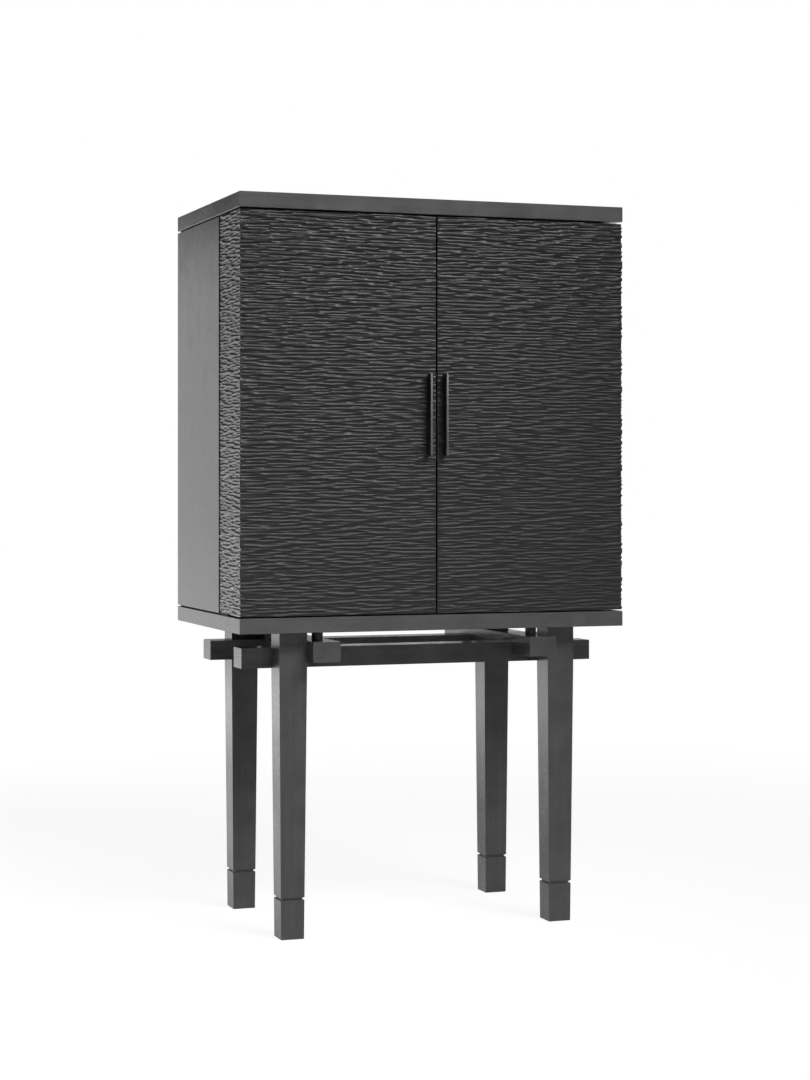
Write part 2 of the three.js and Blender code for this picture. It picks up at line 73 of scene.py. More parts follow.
def put(tree, kind, inputs=None, **settings):
    made = tree.nodes.new(kind)
    for name, value in settings.items():
        setattr(made, name, value)
    for name, value in (inputs or {}).items():
        if isinstance(value, bpy.types.NodeSocket):
            tree.links.new(value, made.inputs[name])
        else:
            made.inputs[name].default_value = value
    return made


def reckon(tree, operation, *terms):
    made = put(tree, "ShaderNodeMath", dict(enumerate(terms)), operation=operation)
    return made.outputs[0]


def ramp(tree, value, start, end, low=0.0, high=1.0, ease="LINEAR"):
    ends = {"From Min": start, "From Max": end, "To Min": low, "To Max": high}
    made = put(tree, "ShaderNodeMapRange", {"Value": value, **ends}, interpolation_type=ease)
    return made.outputs[0]


def apart(tree, vector):
    return put(tree, "ShaderNodeSeparateXYZ", {0: vector}).outputs


def object_place(tree):
    return put(tree, "ShaderNodeTexCoord").outputs["Object"]


def seen_directly(tree):
    ray = put(tree, "ShaderNodeLightPath").outputs
    mirrored = reckon(tree, "MAXIMUM", ray["Is Glossy Ray"], ray["Is Transmission Ray"])
    return ray["Is Camera Ray"], mirrored


studio = bpy.data.worlds.new("studio")
bpy.context.scene.world = studio
studio.use_nodes = True
room = studio.node_tree
room.nodes.clear()
to_camera, mirrored = seen_directly(room)
toward = apart(room, put(room, "ShaderNodeTexCoord").outputs["Generated"])
behind = ramp(room, toward[1], -0.35, 0.45, 0.05, 0.9, "SMOOTHSTEP")
near_horizon = ramp(room, toward[2], 0.096, 0.118, 1.0, 0.0, "SMOOTHSTEP")
backdrop = reckon(room, "MULTIPLY", behind, near_horizon)
in_gloss = reckon(room, "MULTIPLY", mirrored, backdrop)
shown = reckon(room, "MAXIMUM", to_camera, in_gloss)
dim_room = 0.06
room_light = reckon(room, "MAXIMUM", shown, dim_room)
walls = put(room, "ShaderNodeBackground", {"Color": (1, 1, 1, 1), "Strength": room_light})
put(room, "ShaderNodeOutputWorld", {"Surface": walls.outputs[0]})


def soft_lamp(name, place, aim, size, power, spread=180):
    lamp = in_scene(name, bpy.data.lights.new(name, "AREA"))
    lamp.location = place
    lamp.rotation_euler = (Vector(aim) - Vector(place)).to_track_quat("-Z", "Y").to_euler()
    lamp.data.shape = "RECTANGLE"
    lamp.data.size, lamp.data.size_y = size
    lamp.data.energy = power
    lamp.data.spread = math.radians(spread)
    lamp.visible_camera = False


soft_lamp("back_left_light", (-2.6, 1.8, 0.2), (-0.4, 0, 0.1), (1.2, 0.4), 20, 90)
soft_lamp("high_front_light", (1.0, -3.4, 3.9), (-1.4, -0.3, 0.7), (2.5, 1.3), 35, 75)
soft_lamp("front_fill", (-0.3, -6.0, 1.3), (0, 0, 0.7), (2.0, 1.0), 34)
soft_lamp("right_light", (2.4, -2.2, 0.9), (0.3, 0, 0.6), (0.9, 0.9), 6)
soft_lamp("low_horizon_light", (-1.7, 4.0, 0.14), (-0.5, 0, 0.4), (2.5, 0.26), 1.9)

reach = 30
floor_corners = [(-reach, -reach, 0), (reach, -reach, 0), (reach, reach, 0), (-reach, reach, 0)]
floor_mesh = bpy.data.meshes.new("floor")
floor_mesh.from_pydata(floor_corners, [], [(0, 1, 2, 3)])
floor = in_scene("floor", floor_mesh)


def new_material(name):
    material = bpy.data.materials.new(name)
    material.use_nodes = True
    material.node_tree.nodes.clear()
    return material, material.node_tree


def surface_of(tree, inputs):
    surface = put(tree, "ShaderNodeBsdfPrincipled", inputs)
    put(tree, "ShaderNodeOutputMaterial", {"Surface": surface.outputs[0]})


# The floor glows white, a little less so near the cabinet. In gloss the glow carries painted
# light and shade: painted shade toward the camera, a painted shadow of the cabinet across the
# middle, and a painted pool of light on the right.
pale_floor, tree = new_material("pale_floor")
to_camera, mirrored = seen_directly(tree)
spot = object_place(tree)
away = put(tree, "ShaderNodeVectorMath", {0: spot}, operation="LENGTH").outputs["Value"]
fading = ramp(tree, away, 1.2, 4.5, ease="SMOOTHSTEP")
white = ramp(tree, fading, 0.0, 1.0, 0.9, 0.985)
where = apart(tree, spot)
painted_falloff_share = ramp(tree, where[1], -4.5, 0.8, 0.3, 1.0, "SMOOTHSTEP")
painted_shadow_share = ramp(tree, where[0], -0.8, -0.2, 1.0, 0.45, "SMOOTHSTEP")
painted_light_share = ramp(tree, where[0], -0.1, 0.8, 1.0, 1.9)
painted_side_light = reckon(tree, "MULTIPLY", painted_shadow_share, painted_light_share)
painted_floor_light = reckon(tree, "MULTIPLY", painted_falloff_share, painted_side_light)
in_gloss = reckon(tree, "MULTIPLY", mirrored, painted_floor_light)
glow = reckon(tree, "MULTIPLY", reckon(tree, "MAXIMUM", to_camera, in_gloss), white)
shown = reckon(tree, "MAXIMUM", to_camera, mirrored)
paint = ramp(tree, shown, 0.0, 1.0, 0.75, 0.2)
grey = put(tree, "ShaderNodeCombineColor", {0: paint, 1: paint, 2: paint})
surface_of(
    tree,
    {
        "Base Color": grey.outputs[0],
        "Roughness": 0.9,
        "Emission Color": (1, 1, 1, 1),
        "Emission Strength": glow,
    },
)
floor.data.materials.append(pale_floor)


# Legs and feet: straight-grained hardwood posts, square and tapered, stained charcoal and
# waxed. A thin neck parts each leg from its foot. The stain lies unevenly, in soft clouds.


def colour_blend(tree, share, first, second):
    mix = put(
        tree,
        "ShaderNodeMix",
        {0: share, 6: first, 7: second},
        data_type="RGBA",
        blend_type="MIX",
    )
    return mix.outputs[2]


def tint(colour, share=1):
    return (*[min(1, part * share) for part in colour], 1)


def weighted(tree, first, first_share, second, second_share):
    other = reckon(tree, "MULTIPLY", second, second_share)
    return reckon(tree, "MULTIPLY_ADD", first, first_share, other)


def together(tree, x, y, z):
    return put(tree, "ShaderNodeCombineXYZ", {0: x, 1: y, 2: z}).outputs[0]


def drawn_noise(tree, place, along, across, detail, **more):
    # noise of the given size along the pattern's X and across it
    size = together(tree, along, across, across)
    there = put(tree, "ShaderNodeVectorMath", {0: place, 1: size}, operation="DIVIDE").outputs[0]
    inputs = {"Vector": there, "Scale": 1.0, "Detail": detail, **more}
    return put(tree, "ShaderNodeTexNoise", inputs).outputs[0]


def shared_effect(name, inputs, outputs):
    group = bpy.data.node_groups.new(name, "ShaderNodeTree")
    for label, kind, value in inputs:
        socket = group.interface.new_socket(label, in_out="INPUT", socket_type=kind)
        if value is not None:
            socket.default_value = value
    for label, kind in outputs:
        group.interface.new_socket(label, in_out="OUTPUT", socket_type=kind)
    given = group.nodes.new("NodeGroupInput").outputs
    return group, given, group.nodes.new("NodeGroupOutput").inputs


# Grain: X of Place runs along the board
wood_grain, given, result = shared_effect(
    "wood_grain",
    [
        ("Place", "NodeSocketVector", None),
        ("Figure length", "NodeSocketFloat", 0.34),
        ("Figure width", "NodeSocketFloat", 0.011),
        ("Pore length", "NodeSocketFloat", 0.016),
        ("Pore width", "NodeSocketFloat", 0.0007),
        ("Cloud size", "NodeSocketFloat", 0.07),
    ],
    [
        ("Figure", "NodeSocketFloat"),
        ("Pores", "NodeSocketFloat"),
        ("Clouds", "NodeSocketFloat"),
    ],
)
place = given["Place"]
figure = drawn_noise(
    wood_grain,
    place,
    given["Figure length"],
    given["Figure width"],
    5.0,
    Roughness=0.62,
    Distortion=0.35,
)
pores = drawn_noise(wood_grain, place, given["Pore length"], given["Pore width"], 2.0)
clouds = drawn_noise(wood_grain, place, given["Cloud size"], given["Cloud size"], 3.0)
wood_grain.links.new(ramp(wood_grain, figure, 0.3, 0.7), result["Figure"])
wood_grain.links.new(ramp(wood_grain, pores, 0.56, 0.68), result["Pores"])
wood_grain.links.new(ramp(wood_grain, clouds, 0.3, 0.7), result["Clouds"])

# Veneer: turns Place so that the grain also runs along the two ends of a board
grain_lay, given, result = shared_effect(
    "grain_lay",
    [("Place", "NodeSocketVector", None)],
    [("Place", "NodeSocketVector")],
)
facing = apart(grain_lay, put(grain_lay, "ShaderNodeNewGeometry").outputs["True Normal"])
on_end = reckon(grain_lay, "GREATER_THAN", reckon(grain_lay, "ABSOLUTE", facing[0]), 0.8)
lengths = apart(grain_lay, given["Place"])
turned = together(grain_lay, lengths[1], lengths[0], lengths[2])
lay = put(
    grain_lay,
    "ShaderNodeMix",
    {0: on_end, 4: given["Place"], 5: turned},
    data_type="VECTOR",
)
grain_lay.links.new(lay.outputs[1], result["Place"])

# Wear: the stain is rubbed thin along the edges, in patches
edge_wear, given, result = shared_effect(
    "edge_wear",
    [
        ("Place", "NodeSocketVector", None),
        ("Reach", "NodeSocketFloat", 0.002),
        ("Patch size", "NodeSocketFloat", 0.03),
    ],
    [("Worn", "NodeSocketFloat")],
)
rounded = put(edge_wear, "ShaderNodeBevel", {"Radius": given["Reach"]}, samples=4)
face_normal = put(edge_wear, "ShaderNodeNewGeometry").outputs["Normal"]
agreement = put(
    edge_wear,
    "ShaderNodeVectorMath",
    {0: rounded.outputs[0], 1: face_normal},
    operation="DOT_PRODUCT",
)
edge_share = ramp(edge_wear, agreement.outputs["Value"], 0.995, 0.86)
patch = drawn_noise(edge_wear, given["Place"], given["Patch size"], given["Patch size"], 4.0)
patch_share = ramp(edge_wear, patch, 0.35, 0.65)
edge_wear.links.new(reckon(edge_wear, "MULTIPLY", edge_share, patch_share), result["Worn"])

# How a pattern is turned so that its X runs along the world's X, Y or Z
grain_turn = {"x": (0, 0, 0), "y": (0, 0, -math.pi / 2), "z": (0, math.pi / 2, 0)}


def place_along(tree, grain):
    inputs = {"Vector": object_place(tree), "Rotation": grain_turn[grain]}
    return put(tree, "ShaderNodeMapping", inputs).outputs[0]


def stained(name, grain, dark, light, roughness, wear=0.35, relief=0.12):
    material, tree = new_material(name)
    place = place_along(tree, grain)
    if grain == "x":
        place = put(tree, "ShaderNodeGroup", {"Place": place}, node_tree=grain_lay).outputs[0]
    wood = put(tree, "ShaderNodeGroup", {"Place": place}, node_tree=wood_grain).outputs
    edge = put(tree, "ShaderNodeGroup", {"Place": place}, node_tree=edge_wear).outputs
    tone = weighted(tree, wood["Clouds"], 0.65, wood["Figure"], 0.35)
    colour = colour_blend(tree, tone, tint(dark), tint(light))
    pore_dark = reckon(tree, "MULTIPLY", wood["Pores"], 0.3)
    colour = colour_blend(tree, pore_dark, colour, tint(dark, 0.45))
    worn_light = reckon(tree, "MULTIPLY", edge["Worn"], wear)
    colour = colour_blend(tree, worn_light, colour, tint(light, 2.2))
    shine = reckon(tree, "MULTIPLY_ADD", wood["Clouds"], 0.08, roughness - 0.06)
    shine = reckon(tree, "MULTIPLY_ADD", wood["Figure"], 0.05, shine)
    shine = reckon(tree, "MULTIPLY_ADD", wood["Pores"], 0.12, shine)
    height = weighted(tree, wood["Pores"], -0.7, wood["Figure"], 0.3)
    bump = put(tree, "ShaderNodeBump", {"Height": height, "Strength": relief, "Distance": 0.0006})
    surface_of(
        tree,
        {"Base Color": colour, "Roughness": shine, "Normal": bump.outputs[0], "IOR": 1.48},
    )
    return material


def finish_in(material, *names):
    for name in names:
        slots = node[name].data.materials
        slots.clear()
        slots.append(material)
        for face in node[name].data.polygons:
            face.material_index = 0


charcoal_dark = (0.064, 0.0645, 0.066)
charcoal_light = (0.100, 0.1005, 0.102)
waxed = 0.19
charcoal_upright = stained("charcoal_upright", "z", charcoal_dark, charcoal_light, waxed)
corners = ["front_left", "front_right", "back_left", "back_right"]
finish_in(charcoal_upright, *["leg_" + c for c in corners], *["foot_" + c for c in corners])


# Beams: four squared bars of the same wood, half lapped where they cross and fixed to the inner
# faces of the legs. Their ends run on past the legs.

charcoal_across = stained("charcoal_across", "x", charcoal_dark, charcoal_light, waxed)
charcoal_deep = stained("charcoal_deep", "y", charcoal_dark, charcoal_light, waxed)
finish_in(charcoal_across, "beam_front", "beam_back")
finish_in(charcoal_deep, "beam_left", "beam_right")


# Spacers: four spools turned from steel bar and blackened. They carry the case a little clear
# of the beams, and a bolt runs up through each.


def brushed(name, base, roughness, direction):
    material, tree = new_material(name)
    place = place_along(tree, direction)
    lines = drawn_noise(tree, place, 0.05, 0.00035, 3.0)
    tarnish_inputs = {"Vector": place, "Scale": 38.0, "Detail": 4.0}
    tarnish = put(tree, "ShaderNodeTexNoise", tarnish_inputs).outputs[0]
    edge = put(
        tree,
        "ShaderNodeGroup",
        {"Place": place, "Reach": 0.0008, "Patch size": 0.01},
        node_tree=edge_wear,
    )
    colour = colour_blend(tree, tarnish, tint(base, 0.72), tint(base, 1.25))
    worn_light = reckon(tree, "MULTIPLY", edge.outputs["Worn"], 0.5)
    colour = colour_blend(tree, worn_light, colour, tint(base, 2.4))
    shine = reckon(tree, "MULTIPLY_ADD", lines, 0.16, roughness - 0.08)
    shine = reckon(tree, "MULTIPLY_ADD", tarnish, 0.14, shine)
    bump = put(tree, "ShaderNodeBump", {"Height": lines, "Strength": 0.25, "Distance": 0.0001})
    surface_of(
        tree,
        {
            "Base Color": colour,
            "Metallic": 1.0,
            "Roughness": shine,
            "Normal": bump.outputs[0],
        },
    )
    return material


def new_piece(name, points, faces, material, body, sharp_above):
    mesh = bpy.data.meshes.new(name)
    mesh.from_pydata(points, [], faces)
    mesh.materials.append(material)
    for face in mesh.polygons:
        face.use_smooth = True
    mesh.set_sharp_from_angle(angle=math.radians(sharp_above))
    piece = in_scene(name, mesh)
    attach(piece, body)
    return piece


def lathed(profile, centre_and_axes, steps=48):
    # profile: (radius, height) pairs from one pole to the other; the third axis is the lathe's
    centre, side, front, up = (Vector(v) for v in centre_and_axes)
    points = []
    faces = []
    rings = []
    for radius, height in profile:
        start = len(points)
        if radius == 0:
            points.append(centre + up * height)
            rings.append([start] * steps)
        else:
            for k in range(steps):
                a = 2 * math.pi * k / steps
                round_it = side * math.cos(a) + front * math.sin(a)
                points.append(centre + round_it * radius + up * height)
            rings.append(list(range(start, start + steps)))
    for low, high in zip(rings, rings[1:]):
        for k in range(steps):
            n = (k + 1) % steps
            corner_list = [low[k], low[n], high[n], high[k]]
            faces.append([c for i, c in enumerate(corner_list) if c not in corner_list[:i]])
    return points, faces


def mirrored_profile(first_half):
    return first_half + [(r, -h) for r, h in reversed(first_half)]


blackened_steel = brushed("blackened_steel", (0.165, 0.164, 0.162), 0.42, "z")
dull_steel = brushed("dull_steel", (0.080, 0.0796, 0.079), 0.5, "z")
for c in corners:
    low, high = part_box("spacer_" + c)
    middle = (low + high) / 2
    half = (high.z - low.z) / 2
    spool = [
        (0, -half),
        (0.0134, -half),
        (0.014, -half + 0.0006),
        (0.014, -half + 0.0030),
        (0.0136, -half + 0.0034),
        (0.0136, -half + 0.0042),
        (0.014, -half + 0.0046),
    ]
    upright = (middle, (1, 0, 0), (0, 1, 0), (0, 0, 1))
    points, faces = lathed(mirrored_profile(spool), upright)
    piece = new_piece("spool_" + c, points, faces, dull_steel, "carcass", 40)
    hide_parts("spacer_" + c)


# Slabs, side panels and back: thick veneered boards. The slabs overhang nothing, and narrow
# shadow gaps part them from the walls of the case. What lies behind a gap is coloured near
# black: painted shade for the dark inside the gap.


# A near black matt finish with a faint mottle, used for painted shade in the gaps
def matt_black(name, level):
    material, tree = new_material(name)
    inputs = {"Vector": object_place(tree), "Scale": 140.0, "Detail": 4.0}
    black_mottle = put(tree, "ShaderNodeTexNoise", inputs).outputs[0]
    black = (level,) * 3
    shade = colour_blend(tree, black_mottle, tint(black, 0.7), tint(black, 1.3))
    shine = reckon(tree, "MULTIPLY_ADD", black_mottle, 0.2, 0.68)
    bump_inputs = {"Height": black_mottle, "Strength": 0.15, "Distance": 0.0002}
    bump = put(tree, "ShaderNodeBump", bump_inputs)
    surface_of(
        tree,
        {"Base Color": shade, "Roughness": shine, "Normal": bump.outputs[0], "IOR": 1.3},
    )
    return material


slab_dark, slab_light = (0.083, 0.0835, 0.085), (0.123, 0.1235, 0.125)
upper_dark, upper_light = (0.070, 0.0705, 0.072), (0.104, 0.1045, 0.106)
side_dark, side_light = (0.062, 0.0625, 0.064), (0.092, 0.0925, 0.094)
slab_wood = stained("slab_wood", "x", slab_dark, slab_light, 0.15, 0.3, 0.05)
side_wood = stained("side_wood", "z", side_dark, side_light, 0.18, 0.3, 0.06)
slab_upper_wood = stained("slab_upper_wood", "x", upper_dark, upper_light, 0.40, 0.3, 0.04)
finish_in(slab_wood, "bottom_slab", "top_slab")
for name in ("bottom_slab", "top_slab"):
    node[name].data.materials.append(slab_upper_wood)
    for face in node[name].data.polygons:
        face.material_index = 1 if face.normal.z > 0.9 else 0
finish_in(side_wood, "side_panel_left", "side_panel_right", "back_panel")

# Painted shade: the rebate faces of the side panels are coloured near black for the dark gaps
painted_gap_shade = matt_black("painted_gap_shade", 0.006)
lower_rebate_top, upper_rebate_bottom = 0.7992, 1.7858
panel_inner_x = 0.49
for hand in ("left", "right"):
    panel = node["side_panel_" + hand].data
    panel.materials.append(painted_gap_shade)
    for face in panel.polygons:
        in_rebate = not lower_rebate_top <= face.center.z <= upper_rebate_bottom
        outward = abs(face.normal.x) > 0.5 and abs(face.center.x) > panel_inner_x
        face.material_index = 1 if in_rebate and outward else 0


# Door faces: solid boards mitred at the corner, cut with shallow gouge strokes that wander, meet
# and fork, and run on round the corner. Stained black, then rubbed so that the crests are paler.

gouge_rows = 1100
front_columns = 84
return_columns = 48


def shape_tree(name, numbers, others):
    tree = bpy.data.node_groups.new(name, "GeometryNodeTree")
    tree.interface.new_socket("Geometry", in_out="INPUT", socket_type="NodeSocketGeometry")
    for label, value in numbers:
        socket = tree.interface.new_socket(label, in_out="INPUT", socket_type="NodeSocketFloat")
        socket.default_value = value
    for label, kind in others:
        tree.interface.new_socket(label, in_out="INPUT", socket_type=kind)
    tree.interface.new_socket("Geometry", in_out="OUTPUT", socket_type="NodeSocketGeometry")
    given = tree.nodes.new("NodeGroupInput").outputs
    return tree, given, tree.nodes.new("NodeGroupOutput").inputs[0]


def end_tree(tree, geometry, material, result):
    whole = put(tree, "GeometryNodeRealizeInstances", {"Geometry": geometry}).outputs[0]
    inputs = {"Geometry": whole, "Material": material}
    tree.links.new(put(tree, "GeometryNodeSetMaterial", inputs).outputs[0], result)


def grown(name, start_mesh, tree, values):
    # the plain mesh that the tree makes of the start mesh
    holder = in_scene(name + "_holder", start_mesh)
    modifier = holder.modifiers.new(tree.name, "NODES")
    modifier.node_group = tree
    sockets = {s.name: s.identifier for s in tree.interface.items_tree if s.in_out == "INPUT"}
    for label, value in values.items():
        modifier[sockets[label]] = value
    evaluated = holder.evaluated_get(bpy.context.evaluated_depsgraph_get())
    mesh = bpy.data.meshes.new_from_object(evaluated)
    bpy.data.objects.remove(holder)
    mesh.name = name
    return mesh


# The gouges, as a tree: each point of the blank goes into the wood by the depth of the cut there
gouging, given, result = shape_tree(
    "gouging",
    [
        ("Pitch", 0.0067),
        ("Stroke", 0.056),
        ("Corner", 0.5058),
        ("Stroke past corner", 0.042),
        ("Depth", 0.0026),
        ("Crest", 0.0003),
        ("Wander", 0.0055),
        ("Seed", 0.0),
    ],
    [("Wood", "NodeSocketMaterial")],
)


def stored(tree, name, kind):
    made = put(tree, "GeometryNodeInputNamedAttribute", {"Name": name}, data_type=kind)
    return made.outputs[0]


along = stored(gouging, "along", "FLOAT")
into_wood = stored(gouging, "into_wood", "FLOAT_VECTOR")
height = apart(gouging, put(gouging, "GeometryNodeInputPosition").outputs[0])[2]


def drift(length, rise, shift):
    there = together(
        gouging,
        reckon(gouging, "DIVIDE", along, length),
        reckon(gouging, "DIVIDE", height, rise),
        reckon(gouging, "ADD", given["Seed"], shift),
    )
    noise = put(gouging, "ShaderNodeTexNoise", {"Vector": there, "Scale": 1.0, "Detail": 1.0})
    return reckon(gouging, "SUBTRACT", noise.outputs[0], 0.5)


# The strokes are shorter on the narrow face past the corner
before_corner = reckon(gouging, "MINIMUM", along, given["Corner"])
past_corner = reckon(gouging, "SUBTRACT", along, before_corner)
counted = reckon(
    gouging,
    "ADD",
    reckon(gouging, "DIVIDE", before_corner, given["Stroke"]),
    reckon(gouging, "DIVIDE", past_corner, given["Stroke past corner"]),
)
wandering = reckon(gouging, "MULTIPLY", given["Wander"], drift(0.21, 0.09, 3.1))
ripple = reckon(gouging, "MULTIPLY", drift(0.045, 0.024, 11.7), 0.5)
ripple = reckon(gouging, "MULTIPLY", given["Wander"], ripple)
level = reckon(gouging, "ADD", height, reckon(gouging, "ADD", wandering, ripple))

# Each stroke is a bowl round one point of a field of scattered points
stroke_field = together(
    gouging,
    reckon(gouging, "ADD", counted, given["Seed"]),
    reckon(gouging, "DIVIDE", level, given["Pitch"]),
    0.0,
)
bowl_radius = 0.72
cell = put(
    gouging,
    "ShaderNodeTexVoronoi",
    {"Vector": stroke_field, "Scale": 1.0, "Smoothness": 0.05, "Randomness": 0.95},
    voronoi_dimensions="2D",
    feature="SMOOTH_F1",
)
from_middle = reckon(gouging, "DIVIDE", cell.outputs["Distance"], bowl_radius)
squared = reckon(gouging, "MULTIPLY", from_middle, from_middle)
bowl = reckon(gouging, "MAXIMUM", reckon(gouging, "SUBTRACT", 1.0, squared), 0.0)
at_meeting = ramp(gouging, along, 0.0, 0.012, 0.35, 1.0)
cut = reckon(gouging, "MULTIPLY", bowl, at_meeting)
depth = reckon(gouging, "MULTIPLY_ADD", cut, given["Depth"], given["Crest"])
push = put(gouging, "ShaderNodeVectorMath", {0: into_wood, "Scale": depth}, operation="SCALE")
carved = put(
    gouging,
    "GeometryNodeSetPosition",
    {"Geometry": given["Geometry"], "Offset": push.outputs[0]},
)
marked = put(
    gouging,
    "GeometryNodeStoreNamedAttribute",
    {"Geometry": carved.outputs[0], "Name": "cut", "Value": cut},
    data_type="FLOAT",
    domain="POINT",
)
end_tree(gouging, marked.outputs[0], given["Wood"], result)


def carved_finish(name, grain, rub, ior):
    material, tree = new_material(name)
    wood = put(
        tree,
        "ShaderNodeGroup",
        {"Place": place_along(tree, grain), "Figure length": 0.12, "Figure width": 0.003},
        node_tree=wood_grain,
    ).outputs
    cut_here = put(tree, "ShaderNodeAttribute", attribute_name="cut").outputs["Fac"]
    crest = ramp(tree, cut_here, 0.40, 0.05)
    where = apart(tree, object_place(tree))
    low_down = ramp(tree, where[2], 1.75, 0.8)
    to_right = ramp(tree, where[0], -0.5, 0.5)
    patchy = reckon(tree, "MULTIPLY_ADD", wood["Clouds"], 0.5, 0.45)
    rubbed = reckon(tree, "MULTIPLY", crest, patchy)
    tone = weighted(tree, wood["Figure"], 0.6, wood["Clouds"], 0.4)
    colour = colour_blend(tree, tone, (0.011, 0.0111, 0.0113, 1), (0.018, 0.0181, 0.0184, 1))
    # Painted light: lower down the colour turns paler, standing in for light thrown up by the
    # floor
    painted_low_light = reckon(tree, "MULTIPLY", low_down, 0.6)
    colour = colour_blend(tree, painted_low_light, colour, (0.040, 0.0401, 0.0405, 1))
    colour = colour_blend(tree, rubbed, colour, (rub, rub * 1.007, rub * 1.027, 1))
    pore_dark = reckon(tree, "MULTIPLY", wood["Pores"], 0.35)
    colour = colour_blend(tree, pore_dark, colour, (0.012, 0.012, 0.0125, 1))
    shine = reckon(tree, "MULTIPLY_ADD", crest, -0.04, 0.25)
    shine = reckon(tree, "MULTIPLY_ADD", low_down, 0.13, shine)
    shine = reckon(tree, "MULTIPLY_ADD", to_right, 0.05, shine)
    bump_inputs = {"Height": wood["Figure"], "Strength": 0.2, "Distance": 0.0004}
    bump = put(tree, "ShaderNodeBump", bump_inputs)
    surface_of(
        tree,
        {"Base Color": colour, "Roughness": shine, "Normal": bump.outputs[0], "IOR": ior},
    )
    return material


def gouged_board(name, run, back, start, low, high, columns, seed, wood, inner_wood, body):
    # run: outer points in plan from one edge of the carving to the other; back: the same on the
    # inner face; start: how far along the carving the run begins
    outer = [Vector(run[0]).lerp(Vector(run[1]), k / columns) for k in range(columns + 1)]
    inner = [Vector(back[0]).lerp(Vector(back[1]), k / columns) for k in range(columns + 1)]
    direction = (Vector(run[1]) - Vector(run[0])).normalized()
    inward = Vector((-direction.y, direction.x))
    if inward.dot(inner[0] - outer[0]) < 0:
        inward = -inward
    points, along_values, pushes, faces = [], [], [], []

    def add(p, z, along_value=0.0, push_vector=(0, 0, 0)):
        points.append((p.x, p.y, z))
        along_values.append(along_value)
        pushes.append(push_vector)
        return len(points) - 1

    # At the mitre the points move in along it, so that the two boards stay closed
    mitre_x, mitre_y = 0.507, -0.293
    levels = [low + (high - low) * r / gouge_rows for r in range(gouge_rows + 1)]
    grid = []
    for z in levels:
        row = []
        for p in outer:
            push_vector = inward
            if abs(p.x) > mitre_x and p.y < mitre_y:
                push_vector = Vector((-math.copysign(1, p.x), 1))
            reached = start + (p - outer[0]).length
            row.append(add(p, z, reached, (push_vector.x, push_vector.y, 0)))
        grid.append(row)
    bottom = [add(p, low) for p in inner]
    top = [add(p, high) for p in inner]
    first = [bottom[0]] + [add(inner[0], z) for z in levels[1:-1]] + [top[0]]
    last = [bottom[-1]] + [add(inner[-1], z) for z in levels[1:-1]] + [top[-1]]
    centre = add((inner[0] + inner[-1]) / 2, (low + high) / 2)
    for r in range(gouge_rows):
        for k in range(columns):
            faces.append((grid[r][k], grid[r][k + 1], grid[r + 1][k + 1], grid[r + 1][k]))
    for k in range(columns):
        faces.append((bottom[k], bottom[k + 1], grid[0][k + 1], grid[0][k]))
        faces.append((top[k + 1], top[k], grid[-1][k], grid[-1][k + 1]))
        faces.append((bottom[k + 1], bottom[k], centre))
        faces.append((top[k], top[k + 1], centre))
    for r in range(gouge_rows):
        faces.append((first[r], grid[r][0], grid[r + 1][0], first[r + 1]))
        faces.append((grid[r][-1], last[r], last[r + 1], grid[r + 1][-1]))
        faces.append((first[r], first[r + 1], centre))
        faces.append((last[r + 1], last[r], centre))
    if Vector((direction.y, -direction.x)).dot(inward) > 0:
        faces = [tuple(reversed(f)) for f in faces]
    blank = bpy.data.meshes.new(name + "_blank")
    blank.from_pydata(points, [], faces)
    blank.attributes.new("along", "FLOAT", "POINT").data.foreach_set("value", along_values)
    flat_pushes = [c for v in pushes for c in v]
    push_store = blank.attributes.new("into_wood", "FLOAT_VECTOR", "POINT")
    push_store.data.foreach_set("vector", flat_pushes)
    board = grown(name, blank, gouging, {"Seed": seed, "Wood": wood})
    board.set_sharp_from_angle(angle=math.radians(62))
    board.materials.append(inner_wood)
    carved_faces = gouge_rows * columns
    inner_distance = (inner[0] - outer[0]).dot(inward) - 0.0003
    for face in board.polygons:
        inside = (face.center.xy - outer[0]).dot(inward) > inner_distance
        face.material_index = 1 if inside else 0
        face.use_smooth = face.index < carved_faces
    piece = in_scene(name, board)
    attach(piece, body)
    return piece


inner_dark, inner_light = (0.062, 0.058, 0.054), (0.100, 0.094, 0.088)
inner_across = stained("inner_across", "x", inner_dark, inner_light, 0.45, 0.3)
inner_deep = stained("inner_deep", "y", inner_dark, inner_light, 0.45, 0.3)
# The front and the return take copies of one carved finish, set apart by how each face is lit:
# the return's paler crests are painted light, and its sheen is stronger.
carved_front_wood = carved_finish("carved_front_wood", "x", 0.040, 1.295)
carved_return_painted_light = carved_finish("carved_return_painted_light", "y", 0.075, 1.42)
half_meeting_gap = 0.0022
half_width = 0.508
inner_half_width = 0.486
outer_y, inner_y, rear_y = -0.294, -0.272, -0.104
seam = 0.0001
for hand, side, seed in [("left", -1, 4.0), ("right", 1, 23.0)]:
    low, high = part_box(f"door_{hand}_front")
    meeting = half_meeting_gap * side
    outer_x = half_width * side
    inner_x = inner_half_width * side
    piece = gouged_board(
        f"door_{hand}_carved_front",
        [(meeting, outer_y), (outer_x - seam * side, outer_y)],
        [(meeting, inner_y), (inner_x - seam * side, inner_y)],
        0.0,
        low.z,
        high.z,
        front_columns,
        seed,
        carved_front_wood,
        inner_across,
        "door_" + hand,
    )
    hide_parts(f"door_{hand}_front")
    piece = gouged_board(
        f"door_{hand}_carved_return",
        [(outer_x, outer_y + seam), (outer_x, rear_y)],
        [(inner_x, inner_y + seam), (inner_x, rear_y)],
        half_width - half_meeting_gap,
        low.z,
        high.z,
        return_columns,
        seed,
        carved_return_painted_light,
        inner_deep,
        "door_" + hand,
    )
    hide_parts(f"door_{hand}_return")


# Inside boards of the doors and the case: smooth boards in a slightly warmer stain, with
# eased edges.

